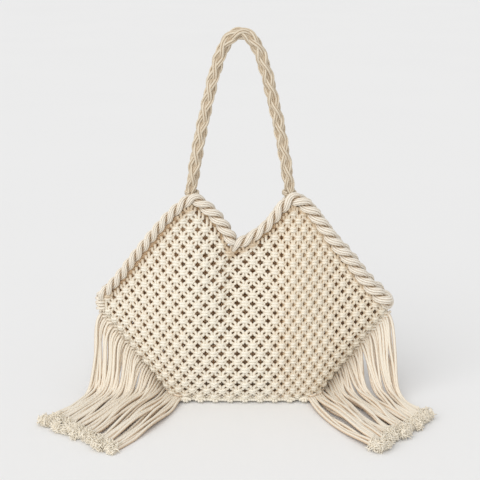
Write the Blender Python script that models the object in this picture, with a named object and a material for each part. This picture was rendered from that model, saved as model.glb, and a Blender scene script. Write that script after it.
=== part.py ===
"""Macrame shoulder bag with long side fringes, standing on its base.

Metres, +Z up, the front faces -Y. The origin is the middle of the underside of the base.
"""

import math
from collections import namedtuple

import bmesh
import bpy
from mathutils import Matrix, Vector

# Base and body
BASE_HALF_WIDTH = 0.100
BASE_HALF_DEPTH = 0.046
BASE_THICKNESS = 0.005
BASE_EDGE_ROUNDING = 0.003
BASE_SQUARENESS = 4.0
BASE_FADE = 2.5
BASE_OUTLINE_SIDES = 28
WALL = 0.005
BULGE = 0.053
CORNER_HALF_WIDTH = 0.189
PEAK_HEIGHT = 0.277
SEAM_TOP_HALF_WIDTH = CORNER_HALF_WIDTH + 0.003
SEAM_TOP_HEIGHT = 0.433 * PEAK_HEIGHT
CLEARANCE = 0.0003
EDGE_ROOM = 0.0004

# Coarse net of the panels, with one diamond gap in every second cell
NET_CELL_WIDTH = 0.0225
NET_CELL_HEIGHT = 0.0215
NET_GAP_HALF = 0.0075
# Corners closer than this are drawn together where the net meets its edge
NET_SLIVER = 0.0008
NET_CELL_MATCH = 0.002

# Rim rope, three strands laid together
ROPE_RADIUS = 0.0088
ROPE_LOBE = 0.0009
ROPE_LAY = 0.054
ROPE_STRANDS = 3
ROPE_SIDES = 9
ROPE_STEP = 0.0078
CORNER_TURN_RADIUS = 0.0115
CORNER_TURN_POINTS = 5
ROPE_BUTT_ROOM = 0.0014

# Strap, a round braid
STRAP_RADIUS = 0.0082
STRAP_SCALLOP = 0.0007
STRAP_SCALLOP_PITCH = 0.016
STRAP_SIDES = 8
STRAP_STEP = 0.0057
STRAP_RISE = 0.216
STRAP_FOOT_LEFT = -0.376 * CORNER_HALF_WIDTH
STRAP_FOOT_RIGHT = 0.312 * CORNER_HALF_WIDTH
STRAP_FOOT_DEPTH = 0.015
WRAP_CORD_RADIUS = 0.0024
WRAP_LIFT = 0.0114

# Fringe, cords gathered in locks along each lower side
SEAM_BUNDLE_RADIUS = 0.005
SEAM_BUNDLE_SIDES = 8
LOCKS_PER_SIDE = 11
LOCK_RADIUS = 0.0042
LOCK_SIDES = 6
LOCK_STATIONS = 11
TUFT_RADIUS = 0.0060
TUFT_LENGTH = 0.020
SEAM_BUNDLE_STEPS = 6
FRINGE_OUTER_SIDE = SEAM_TOP_HALF_WIDTH + 0.070
FRINGE_OUTER_FRONT = 0.100
FRINGE_INNER_SIDE = BASE_HALF_WIDTH + 0.058
FRINGE_INNER_FRONT = 0.206
LANDING_FRONT = 0.030
LANDING_LEAN = 1.07

RimRow = namedtuple("RimRow", "across up")
# Middle line of the rim rope seen from the front, left corner to notch:
# across as a share of CORNER_HALF_WIDTH, up as a share of PEAK_HEIGHT
RIM_LEFT = [
    RimRow(-1.000, 0.531),
    RimRow(-0.884, 0.614),
    RimRow(-0.788, 0.697),
    RimRow(-0.688, 0.783),
    RimRow(-0.556, 0.892),
    RimRow(-0.450, 0.962),
    RimRow(-0.365, 1.000),
    RimRow(-0.286, 0.968),
    RimRow(-0.201, 0.910),
    RimRow(-0.125, 0.834),
    RimRow(-0.070, 0.766),
]
# The right rope starts under the end of the left one, at the notch, and runs to the right corner
RIM_RIGHT = [
    RimRow(-0.092, 0.753),
    RimRow(-0.045, 0.775),
    RimRow(0.016, 0.798),
    RimRow(0.079, 0.823),
    RimRow(0.148, 0.861),
    RimRow(0.212, 0.910),
    RimRow(0.271, 0.966),
    RimRow(0.349, 1.002),
    RimRow(0.438, 0.966),
    RimRow(0.540, 0.877),
    RimRow(0.640, 0.783),
    RimRow(0.751, 0.693),
    RimRow(0.847, 0.603),
    RimRow(0.926, 0.542),
    RimRow(0.990, 0.502),
]

PlumpRow = namedtuple("PlumpRow", "across fullness")
# How far each panel bulges: across as a share of SEAM_TOP_HALF_WIDTH, fullness as a share of BULGE
PLUMP_FRONT = [
    PlumpRow(-1.00, 0.10),
    PlumpRow(-0.80, 0.46),
    PlumpRow(-0.60, 0.78),
    PlumpRow(-0.35, 0.96),
    PlumpRow(0.00, 1.00),
    PlumpRow(0.25, 0.96),
    PlumpRow(0.45, 0.76),
    PlumpRow(0.62, 0.50),
    PlumpRow(0.80, 0.36),
    PlumpRow(1.00, 0.10),
]
PLUMP_BACK = [
    PlumpRow(-1.00, 0.10),
    PlumpRow(-0.70, 0.62),
    PlumpRow(-0.35, 0.94),
    PlumpRow(0.00, 1.00),
    PlumpRow(0.35, 0.94),
    PlumpRow(0.70, 0.62),
    PlumpRow(1.00, 0.10),
]

StrapRow = namedtuple("StrapRow", "aside up")
# One half of the strap: aside as a share of half the distance between its feet, up as a share of STRAP_RISE
STRAP_HALF = [
    StrapRow(1.03, 0.00),
    StrapRow(0.97, 0.12),
    StrapRow(0.90, 0.25),
    StrapRow(0.79, 0.42),
    StrapRow(0.66, 0.59),
    StrapRow(0.51, 0.77),
    StrapRow(0.30, 0.935),
    StrapRow(0.00, 1.00),
]

CREAM = (0.80, 0.72, 0.58, 1.0)
CREAM_SHADED = (0.72, 0.63, 0.49, 1.0)
CREAM_PALE = (0.84, 0.77, 0.64, 1.0)
COTTON_ROUGHNESS = 0.92


# Brings the swelling curve t * (1 - t) ** 2 up to 1 at its highest point
SWELL_GAIN = 27 / 4
# Longest pointed corner of the panel's offset edge, as the lowest cosine that is followed
EDGE_MITRE = 0.75


def cotton(name, colour):
    """A matt cotton material of one colour."""
    material = bpy.data.materials.new(name)
    material.use_nodes = True
    shader = material.node_tree.nodes["Principled BSDF"]
    shader.inputs["Base Color"].default_value = colour
    shader.inputs["Roughness"].default_value = COTTON_ROUGHNESS
    shader.inputs["Metallic"].default_value = 0.0
    return material


def finish(bm, name, material, smooth=True):
    """Make the bmesh one named object with its faces turned outward."""
    bmesh.ops.recalc_face_normals(bm, faces=bm.faces)
    mesh = bpy.data.meshes.new(name)
    bm.to_mesh(mesh)
    bm.free()
    if smooth:
        mesh.shade_smooth()
    mesh.materials.append(material)
    thing = bpy.data.objects.new(name, mesh)
    bpy.context.scene.collection.objects.link(thing)
    return thing


def blend(rows, share):
    """Read a two column table at share."""
    for low, high in zip(rows, rows[1:]):
        if share <= high[0]:
            part = min(max((share - low[0]) / (high[0] - low[0]), 0.0), 1.0)
            return low[1] + (high[1] - low[1]) * part
    return rows[-1][1]


def smooth_through(points, samples=12):
    """A smooth chain of points through the given ones."""
    ends = [points[0] * 2 - points[1], *points, points[-1] * 2 - points[-2]]
    chain = []
    for before, start, stop, after in zip(ends, ends[1:], ends[2:], ends[3:]):
        for step in range(samples):
            t = step / samples
            chain.append(0.5 * (
                2 * start
                + (stop - before) * t
                + (2 * before - 5 * start + 4 * stop - after) * t * t
                + (3 * start - before - 3 * stop + after) * t * t * t
            ))
    chain.append(points[-1].copy())
    return chain


def evenly(chain, count):
    """The chain cut into count equal steps, as points with their distance from the start."""
    lengths = [0.0]
    for start, stop in zip(chain, chain[1:]):
        lengths.append(lengths[-1] + (stop - start).length)
    points = []
    place = 0
    for index in range(count + 1):
        goal = lengths[-1] * index / count
        while place < len(chain) - 2 and lengths[place + 1] < goal:
            place += 1
        share = (goal - lengths[place]) / (lengths[place + 1] - lengths[place])
        points.append((chain[place].lerp(chain[place + 1], min(share, 1.0)), goal))
    return points


def chain_length(chain):
    return sum((stop - start).length for start, stop in zip(chain, chain[1:]))


def sweep(bm, stations, sides, radius, turn):
    """A closed tube through the stations, whose radius and turn follow the distance along it."""
    points = [point for point, distance in stations]
    tangents = []
    for index in range(len(points)):
        before = points[max(index - 1, 0)]
        after = points[min(index + 1, len(points) - 1)]
        tangents.append((after - before).normalized())
    across = tangents[0].cross(Vector((0.0, 1.0, 0.0)))
    if across.length < 0.1:
        across = tangents[0].cross(Vector((1.0, 0.0, 0.0)))
    across.normalize()
    rings = []
    for index, (point, distance) in enumerate(stations):
        tangent = tangents[index]
        if index:
            across = tangents[index - 1].rotation_difference(tangent) @ across
        across = (across - tangent * across.dot(tangent)).normalized()
        up = tangent.cross(across)
        ring = []
        for side in range(sides):
            angle = math.tau * side / sides
            spun = angle + turn(distance)
            reach = radius(distance, angle)
            ring.append(bm.verts.new(point + reach * (math.cos(spun) * across + math.sin(spun) * up)))
        rings.append(ring)
    for low, high in zip(rings, rings[1:]):
        for side in range(sides):
            after = (side + 1) % sides
            bm.faces.new((low[side], low[after], high[after], high[side]))
    bm.faces.new(rings[0])
    bm.faces.new(rings[-1])


# Rim line and mouth

def rope_outer_radius():
    return ROPE_RADIUS + ROPE_LOBE


def strap_outer_radius():
    return STRAP_RADIUS + STRAP_SCALLOP


def mouth_half_gap(x):
    """Distance of the rim rope from the middle plane, wide at the peaks and narrow at the corners."""
    wide = rope_outer_radius() + STRAP_RADIUS + CLEARANCE
    share = (abs(x) - 0.45 * CORNER_HALF_WIDTH) / (0.55 * CORNER_HALF_WIDTH)
    share = min(max(share, 0.0), 1.0)
    return wide + (CORNER_TURN_RADIUS - wide) * share


def rim_point(row, side):
    x = row.across * CORNER_HALF_WIDTH
    return Vector((x, side * mouth_half_gap(x), row.up * PEAK_HEIGHT))


def corner_turn(outer, inner):
    """The rope's bend round a corner, from front to back, in the plane of its own slope."""
    slope = Vector((outer.x - inner.x, 0.0, outer.z - inner.z)).normalized()
    centre = Vector((outer.x, 0.0, outer.z))
    points = []
    for index in range(1, CORNER_TURN_POINTS + 1):
        angle = math.pi * index / (CORNER_TURN_POINTS + 1)
        ahead = slope * math.sin(angle)
        aside = Vector((0.0, -math.cos(angle), 0.0))
        points.append(centre + (ahead + aside) * CORNER_TURN_RADIUS)
    return points


def rim_chain(rows):
    """The route of one rim rope: notch, front peak, corner, back peak, notch. Rows start at the corner."""
    front = [rim_point(row, -1) for row in rows]
    back = [rim_point(row, 1) for row in rows]
    return smooth_through(front[::-1] + corner_turn(front[0], front[1]) + back)


def rim_rope(name, chain):
    count = round(chain_length(chain) / ROPE_STEP)
    bm = bmesh.new()
    sweep(
        bm,
        evenly(chain, count),
        ROPE_SIDES,
        lambda distance, angle: ROPE_RADIUS + ROPE_LOBE * math.cos(ROPE_STRANDS * angle),
        lambda distance: -math.tau * distance / ROPE_LAY,
    )
    return finish(bm, name, cotton("rope_cotton_" + name, CREAM_PALE))


def clear_of(chain, other, room):
    """The stretch of the chain that stays at least room away from the other chain."""
    return [point for point in chain if min((point - far).length for far in other) >= room]


# Panels

def foot():
    return BASE_THICKNESS + CLEARANCE


def lower_edge(x):
    """Height of a panel's lower edge: the base, then the slanted seams up to the corners."""
    if abs(x) <= BASE_HALF_WIDTH:
        return foot()
    share = (abs(x) - BASE_HALF_WIDTH) / (SEAM_TOP_HALF_WIDTH - BASE_HALF_WIDTH)
    return foot() + (SEAM_TOP_HEIGHT - foot()) * min(share, 1.0)


def half_width(z):
    """Half the width of the body at a height, out to the seams."""
    share = (z - foot()) / (SEAM_TOP_HEIGHT - foot())
    return BASE_HALF_WIDTH + (SEAM_TOP_HALF_WIDTH - BASE_HALF_WIDTH) * min(max(share, 0.0), 1.0)


def upper_edge_points():
    """The panel's top edge, just under the rim rope, from left to right."""
    rows = RIM_LEFT[:-1] + RIM_RIGHT
    line = [Vector((row.across * CORNER_HALF_WIDTH, row.up * PEAK_HEIGHT)) for row in rows]
    room = rope_outer_radius() + CLEARANCE + EDGE_ROOM
    points = []
    for index, point in enumerate(line):
        normals = []
        for low, high in ((index - 1, index), (index, index + 1)):
            if 0 <= low and high < len(line):
                along = (line[high] - line[low]).normalized()
                normals.append(Vector((along.y, -along.x)))
        bisector = sum(normals, Vector((0.0, 0.0))).normalized()
        points.append(point + bisector * room / max(bisector.dot(normals[0]), EDGE_MITRE))
    return points


def upper_edge(x, points):
    for low, high in zip(points, points[1:]):
        if x <= high.x:
            share = min(max((x - low.x) / (high.x - low.x), 0.0), 1.0)
            return low.y + (high.y - low.y) * share
    return points[-1].y


def half_depth(x, z, points, plump):
    """Distance of a panel's outer face from the middle plane."""
    low = lower_edge(x)
    high = upper_edge(x, points)
    t = min(max((z - low) / max(high - low, CLEARANCE / 3), 0.0), 1.0)
    height_share = min(max((z - foot()) / (high - foot()), 0.0), 1.0)
    width_share = min(abs(x) / half_width(z), 1.0)
    at_base = BASE_HALF_DEPTH * (1.0 - width_share ** BASE_SQUARENESS) ** (1.0 / BASE_SQUARENESS)
    at_rim = mouth_half_gap(x) + WALL / 2
    bulge = BULGE * blend(plump, x / SEAM_TOP_HALF_WIDTH)
    swell = SWELL_GAIN * t * (1.0 - t) ** 2
    return math.sqrt(at_base ** 2 * (1.0 - height_share) ** BASE_FADE + bulge ** 2 * swell + at_rim ** 2 * t)


def panel(name, side, plump):
    """One net panel: a flat outline cut into cells, with diamond gaps, bent to the bulge and thickened."""
    points = upper_edge_points()
    outline = [(point.x, point.y) for point in points]
    outline.append((SEAM_TOP_HALF_WIDTH, SEAM_TOP_HEIGHT))
    outline.append((BASE_HALF_WIDTH, foot()))
    outline.append((-BASE_HALF_WIDTH, foot()))
    outline.append((-SEAM_TOP_HALF_WIDTH, SEAM_TOP_HEIGHT))
    bm = bmesh.new()
    bm.faces.new([bm.verts.new((x, 0.0, z)) for x, z in outline])
    columns = math.ceil(SEAM_TOP_HALF_WIDTH / NET_CELL_WIDTH)
    rows = math.ceil(PEAK_HEIGHT / NET_CELL_HEIGHT)
    for column in range(-columns, columns + 1):
        cut(bm, (column * NET_CELL_WIDTH, 0.0, 0.0), (1.0, 0.0, 0.0))
    for row in range(1, rows + 1):
        cut(bm, (0.0, 0.0, foot() + row * NET_CELL_HEIGHT), (0.0, 0.0, 1.0))
    bmesh.ops.remove_doubles(bm, verts=bm.verts, dist=NET_SLIVER)
    pierce(bm)
    for vert in bm.verts:
        vert.co.y = side * half_depth(vert.co.x, vert.co.z, points, plump)
    bmesh.ops.recalc_face_normals(bm, faces=bm.faces)
    if sum(face.normal.y * face.calc_area() for face in bm.faces) * side < 0:
        bmesh.ops.reverse_faces(bm, faces=bm.faces)
    bmesh.ops.solidify(bm, geom=list(bm.faces), thickness=WALL)
    for vert in bm.verts:
        if vert.co.y * side < CLEARANCE / 2:
            vert.co.y = side * CLEARANCE / 2
        vert.co.z = max(vert.co.z, foot())
    bmesh.ops.triangulate(bm, faces=bm.faces)
    return finish(bm, name, cotton("net_cotton_" + name, CREAM))


def cut(bm, place, normal):
    geometry = [*bm.verts, *bm.edges, *bm.faces]
    bmesh.ops.bisect_plane(bm, geom=geometry, dist=NET_SLIVER / 80, plane_co=place, plane_no=normal)


def pierce(bm):
    """Cut a diamond gap into every second whole cell."""
    whole = []
    for face in bm.faces:
        full = abs(face.calc_area() / (NET_CELL_WIDTH * NET_CELL_HEIGHT) - 1.0) < NET_CELL_MATCH
        middle = face.calc_center_median()
        column = math.floor(middle.x / NET_CELL_WIDTH)
        row = math.floor((middle.z - foot()) / NET_CELL_HEIGHT)
        if full and len(face.verts) == 4 and (column + row) % 2 == 0:
            whole.append(face)
    for face in whole:
        middle = face.calc_center_median()
        bmesh.ops.inset_individual(bm, faces=[face], thickness=NET_CELL_HEIGHT / 4)
        for index, vert in enumerate(face.verts):
            away = vert.co - middle
            angle = math.atan2(away.z, away.x) + math.pi / 4
            quarter = round(angle / (math.pi / 2)) * math.pi / 2
            vert.co = middle + NET_GAP_HALF * Vector((math.cos(quarter), 0.0, math.sin(quarter)))
    bmesh.ops.delete(bm, geom=whole, context="FACES_ONLY")
    print("gaps in this panel:", len(whole))


def base_panel():
    """Flat underside with a softened lower edge."""
    bm = bmesh.new()
    ring = []
    for index in range(BASE_OUTLINE_SIDES):
        angle = math.tau * index / BASE_OUTLINE_SIDES
        power = 2.0 / BASE_SQUARENESS
        x = math.copysign(abs(math.cos(angle)) ** power, math.cos(angle)) * BASE_HALF_WIDTH
        y = math.copysign(abs(math.sin(angle)) ** power, math.sin(angle)) * BASE_HALF_DEPTH
        ring.append(bm.verts.new((x, y, 0.0)))
    floor_face = bm.faces.new(ring)
    raised = bmesh.ops.extrude_face_region(bm, geom=[floor_face], use_keep_orig=True)
    top = [item for item in raised["geom"] if isinstance(item, bmesh.types.BMVert)]
    bmesh.ops.translate(bm, verts=top, vec=(0.0, 0.0, BASE_THICKNESS))
    lower = [edge for edge in bm.edges if all(vert.co.z < 1e-6 for vert in edge.verts)]
    bmesh.ops.bevel(
        bm, geom=lower, offset=BASE_EDGE_ROUNDING, segments=1, profile=0.5, affect="EDGES", material=-1
    )
    return finish(bm, "base_panel", cotton("net_cotton_base", CREAM_SHADED), smooth=False)


# Strap

def strap_chain():
    """The strap's middle line, from inside the mouth at the left peak over to the right peak."""
    middle = (STRAP_FOOT_LEFT + STRAP_FOOT_RIGHT) / 2
    half_spread = (STRAP_FOOT_RIGHT - STRAP_FOOT_LEFT) / 2
    sides = {}
    for side in (-1, 1):
        sides[side] = [
            Vector((middle + side * row.aside * half_spread, 0.0, PEAK_HEIGHT + row.up * STRAP_RISE))
            for row in STRAP_HALF
        ]
    foot_drop = Vector((0.0, 0.0, -STRAP_FOOT_DEPTH))
    left, right = sides[-1], sides[1]
    return smooth_through([left[0] + foot_drop, *left, *right[-2::-1], right[0] + foot_drop])


def strap():
    chain = strap_chain()
    bm = bmesh.new()
    sweep(
        bm,
        evenly(chain, round(chain_length(chain) / STRAP_STEP)),
        STRAP_SIDES,
        lambda distance, angle: STRAP_RADIUS
        + STRAP_SCALLOP * math.cos(angle) * math.cos(math.tau * distance / STRAP_SCALLOP_PITCH),
        lambda distance: 0.0,
    )
    return finish(bm, "strap", cotton("braid_cotton", CREAM))


def strap_wrap(name, x):
    """A small cord loop round a foot of the strap, resting on the rim ropes."""
    major = strap_outer_radius() + CLEARANCE + WRAP_CORD_RADIUS
    bm = bmesh.new()
    section = bmesh.ops.create_circle(
        bm, cap_ends=False, segments=6, radius=WRAP_CORD_RADIUS,
        matrix=Matrix.Translation((major, 0.0, 0.0)) @ Matrix.Rotation(math.pi / 2, 4, "X"),
    )
    bmesh.ops.spin(
        bm, geom=section["verts"] + list(bm.edges), axis=(0.0, 0.0, 1.0), cent=(0.0, 0.0, 0.0),
        angle=math.tau, steps=14, use_merge=True,
    )
    bmesh.ops.remove_doubles(bm, verts=bm.verts, dist=1e-5)
    bmesh.ops.translate(bm, verts=bm.verts, vec=(x, 0.0, PEAK_HEIGHT + WRAP_LIFT))
    return finish(bm, name, cotton("wrap_cotton_" + name, CREAM_PALE))


# Fringe

def seam_line(side):
    """The middle line of the seam bundle, just outside the panels' joined edges, from top to base."""
    top = Vector((SEAM_TOP_HALF_WIDTH, 0.0, SEAM_TOP_HEIGHT))
    low = Vector((BASE_HALF_WIDTH, 0.0, foot()))
    along = (low - top).normalized()
    outward = Vector((-along.z, 0.0, along.x))
    start = top + outward * (SEAM_BUNDLE_RADIUS + CLEARANCE)
    fall = start.z - SEAM_BUNDLE_RADIUS - CLEARANCE
    stop = start + along * fall / abs(along.z)
    return [Vector((side * point.x, 0.0, point.z)) for point in (start, stop)]


def lock_chain(side, share):
    """The route of one lock: down from the seam, over to the floor, and forward and outward along it."""
    top, low = seam_line(side)
    start = top.lerp(low, share)
    rest = LOCK_RADIUS + CLEARANCE
    reach_x = FRINGE_OUTER_SIDE + (FRINGE_INNER_SIDE - FRINGE_OUTER_SIDE) * share
    reach_y = FRINGE_OUTER_FRONT + (FRINGE_INNER_FRONT - FRINGE_OUTER_FRONT) * share
    end = Vector((side * reach_x, -reach_y, TUFT_RADIUS + CLEARANCE))
    landing = Vector((start.x * LANDING_LEAN, -LANDING_FRONT, rest))
    fall = start.lerp(landing, 0.45)
    fall.z = start.z * 0.52 + rest * 0.48
    near = start.lerp(landing, 0.84)
    near.z = start.z * 0.14 + rest * 1.1
    middle = landing.lerp(end, 0.5) + Vector((-side * 0.004, -0.004, 0.0))
    middle.z = rest
    return smooth_through([start, fall, near, landing, middle, end])


def lock_radius(length):
    """Slim cords, then a fuller frayed end."""
    def radius(distance, angle):
        left = length - distance
        if left > TUFT_LENGTH:
            return LOCK_RADIUS
        share = left / TUFT_LENGTH
        return LOCK_RADIUS + (TUFT_RADIUS - LOCK_RADIUS) * math.sin(math.pi * min(share + 0.25, 1.0))
    return radius


def fringe(name, side):
    bm = bmesh.new()
    ends = seam_line(side)
    sweep(
        bm, evenly(ends, SEAM_BUNDLE_STEPS), SEAM_BUNDLE_SIDES,
        lambda distance, angle: SEAM_BUNDLE_RADIUS, lambda distance: 0.0,
    )
    head = finish(bm, name, cotton("fringe_cotton_" + name, CREAM))
    for index in range(LOCKS_PER_SIDE):
        chain = lock_chain(side, (index + 0.5) / LOCKS_PER_SIDE)
        radius = lock_radius(chain_length(chain))
        stations = evenly(chain, LOCK_STATIONS)
        for point, distance in stations:
            point.z = max(point.z, radius(distance, 0.0) + CLEARANCE)
        bm = bmesh.new()
        sweep(bm, stations, LOCK_SIDES, radius, lambda distance: 0.0)
        lock = finish(bm, f"{name}_lock_{index}", head.data.materials[0])
        lock.hide_render = True
        lock.display_type = "WIRE"
        union = head.modifiers.new(lock.name, "BOOLEAN")
        union.operation = "UNION"
        union.solver = "EXACT"
        union.object = lock
    return head


def build():
    for thing in list(bpy.data.objects):
        bpy.data.objects.remove(thing)
    panel("front_panel", -1, PLUMP_FRONT)
    panel("back_panel", 1, PLUMP_BACK)
    base_panel()
    right = rim_chain(RIM_RIGHT[::-1])
    room = rope_outer_radius() + CLEARANCE + ROPE_BUTT_ROOM
    left = clear_of(rim_chain(RIM_LEFT), right, room)
    rim_rope("rim_rope_left", left)
    rim_rope("rim_rope_right", right)
    strap()
    strap_wrap("strap_wrap_left", STRAP_FOOT_LEFT)
    strap_wrap("strap_wrap_right", STRAP_FOOT_RIGHT)
    fringe("fringe_left", -1)
    fringe("fringe_right", 1)


build()
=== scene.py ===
# %% [markdown]
# # A macrame shoulder bag
# The bag is knotted by hand from one kind of soft, undyed cotton cord. Two nets of square knots make its
# front and back, a thick laid rope runs round its open mouth, a round braid is its shoulder strap, and the
# ends of the net's cords hang down both sides as a long fringe.
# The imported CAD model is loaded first. It fixes where everything is, and each piece made here stands for one
# or more of its solids.

# %% Load the fixed frame
import math
import random

import bmesh
import bpy
import numpy as np
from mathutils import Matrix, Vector
from mathutils.kdtree import KDTree


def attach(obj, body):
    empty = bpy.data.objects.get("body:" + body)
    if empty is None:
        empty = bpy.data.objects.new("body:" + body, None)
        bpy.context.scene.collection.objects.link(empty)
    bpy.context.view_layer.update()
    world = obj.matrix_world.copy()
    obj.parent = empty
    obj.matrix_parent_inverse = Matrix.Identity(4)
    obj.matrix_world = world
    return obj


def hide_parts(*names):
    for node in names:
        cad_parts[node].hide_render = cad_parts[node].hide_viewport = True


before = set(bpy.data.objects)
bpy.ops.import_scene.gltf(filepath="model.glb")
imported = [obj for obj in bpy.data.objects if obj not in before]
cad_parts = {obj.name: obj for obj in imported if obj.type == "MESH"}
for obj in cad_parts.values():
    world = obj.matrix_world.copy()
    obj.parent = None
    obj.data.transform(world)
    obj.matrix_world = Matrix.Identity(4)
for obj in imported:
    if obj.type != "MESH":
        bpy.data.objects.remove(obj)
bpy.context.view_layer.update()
random.seed(7)
print("CAD nodes:", ", ".join(sorted(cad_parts)))

# %% [markdown]
# ## Camera, light and floor
# The photograph was taken with a long lens from a little above the bag. A camera with an 85 mm lens, a metre
# and a half away and 15 degrees up, gives the same view. The studio is one wide pale floor under a soft, even
# light, so a broad sun from the left does the shaping and the sky fills in the shadows.

# %% Camera
CAMERA_TARGET = Vector((-0.00675, 0.0, 0.217))
CAMERA_DISTANCE = 1.53
CAMERA_ELEVATION = math.radians(15)

camera_data = bpy.data.cameras.new("camera")
camera_data.lens = 85
camera = bpy.data.objects.new("camera", camera_data)
bpy.context.scene.collection.objects.link(camera)
back = Vector((0.0, -math.cos(CAMERA_ELEVATION), math.sin(CAMERA_ELEVATION)))
camera.location = CAMERA_TARGET + back * CAMERA_DISTANCE
camera.rotation_euler = (-back).to_track_quat("-Z", "Y").to_euler()
bpy.context.scene.camera = camera
print("camera at", [round(c, 3) for c in camera.location])

# %% Light and floor
bpy.context.scene.view_settings.view_transform = "Standard"
world = bpy.data.worlds.new("studio")
world.use_nodes = True
world.node_tree.nodes["Background"].inputs["Color"].default_value = (1.0, 1.0, 1.0, 1.0)
world.node_tree.nodes["Background"].inputs["Strength"].default_value = 0.66
bpy.context.scene.world = world

sun_data = bpy.data.lights.new("soft_sun", "SUN")
sun_data.energy = 1.75
sun_data.angle = math.radians(75)
sun_data.color = (1.0, 0.997, 0.99)
sun = bpy.data.objects.new("soft_sun", sun_data)
bpy.context.scene.collection.objects.link(sun)
sun.rotation_euler = Vector((0.58, 1.12, -0.98)).to_track_quat("-Z", "Y").to_euler()

bm = bmesh.new()
bmesh.ops.create_grid(bm, x_segments=1, y_segments=1, size=40.0)
floor_mesh = bpy.data.meshes.new("floor")
bm.to_mesh(floor_mesh)
bm.free()
floor = bpy.data.objects.new("floor", floor_mesh)
bpy.context.scene.collection.objects.link(floor)

# %% [markdown]
# ## Shader maths
# A material is a small network of nodes. This class wraps one socket, so that sums on sockets can be written
# as ordinary Python: every operator adds one Math node and returns its result.


# %% Helper: sockets as Python values
class Socket:
    """A value in a material's network. + - * / and ** add Math nodes."""

    def __init__(self, tree, output):
        self.tree = tree
        self.output = output

    def node(self, kind, settings=None, **inputs):
        """Add any node: its settings first, then the values or links of its sockets."""
        made = self.tree.nodes.new(kind)
        for key, value in (settings or {}).items():
            setattr(made, key, value)
        for key, value in inputs.items():
            socket = made.inputs[int(key[1:])] if key[1:].isdigit() else made.inputs[key.replace("_", " ")]
            if isinstance(value, Socket):
                self.tree.links.new(value.output, socket)
            else:
                socket.default_value = value
        return made

    def math(self, operation, first, second=0.0):
        made = self.node("ShaderNodeMath", {"operation": operation}, i0=first, i1=second)
        return Socket(self.tree, made.outputs[0])

    def __add__(self, other):
        return self.math("ADD", self, other)

    __radd__ = __add__

    def __sub__(self, other):
        return self.math("SUBTRACT", self, other)

    def __rsub__(self, other):
        return self.math("SUBTRACT", other, self)

    def __mul__(self, other):
        return self.math("MULTIPLY", self, other)

    __rmul__ = __mul__

    def __pow__(self, other):
        return self.math("POWER", self, other)

    def clamp(self):
        made = self.node("ShaderNodeClamp", None, Value=self)
        return Socket(self.tree, made.outputs[0])


# %% [markdown]
# ## Floor finish
# The studio floor is matt paper. A faint, very broad noise keeps it from being a dead flat colour.

# %% Floor material
def new_material(name):
    material = bpy.data.materials.new(name)
    material.use_nodes = True
    shader = material.node_tree.nodes["Principled BSDF"]
    coordinates = material.node_tree.nodes.new("ShaderNodeTexCoord")
    return material, shader, coordinates


def link_to(socket, target):
    socket.tree.links.new(socket.output, target)


paper, shader, coordinates = new_material("paper")
place = Socket(paper.node_tree, coordinates.outputs["Object"])
cloud = place.node("ShaderNodeTexNoise", None, Vector=place, Scale=1.5, Detail=2.0)
tone = place.node(
    "ShaderNodeMix", {"data_type": "RGBA"}, Factor=Socket(paper.node_tree, cloud.outputs[0]),
    i6=(0.83, 0.83, 0.832, 1.0), i7=(0.85, 0.85, 0.85, 1.0),
)
link_to(Socket(paper.node_tree, tone.outputs[2]), shader.inputs["Base Color"])
shader.inputs["Roughness"].default_value = 0.95
shader.inputs["Specular IOR Level"].default_value = 0.1
floor_mesh.materials.append(paper)

# %% [markdown]
# ## Cotton cord finish
# Each cord is made of three strings twisted together, and each string of soft fibres. Seen close, that gives a
# slanting groove that winds along the cord, and a fine fuzz. The tubes made below carry a UV map in which
# U is the length along the cord in centimetres and V goes once round it, so the twist is a wave on U and V.
# Cotton is matt and slightly uneven in colour from cord to cord. Undyed cotton looks browner wherever light only
# reaches it after it has touched other cotton, so each mesh carries an attribute named shade, 0 in the open
# and 1 deep between the cords, that leads the colour towards brown. Inside the bag it goes on to 2, a light tan:
# the light there has come through the cotton.


# %% Cotton material
LIT_THROUGH = (0.90, 0.68, 0.46)


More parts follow.
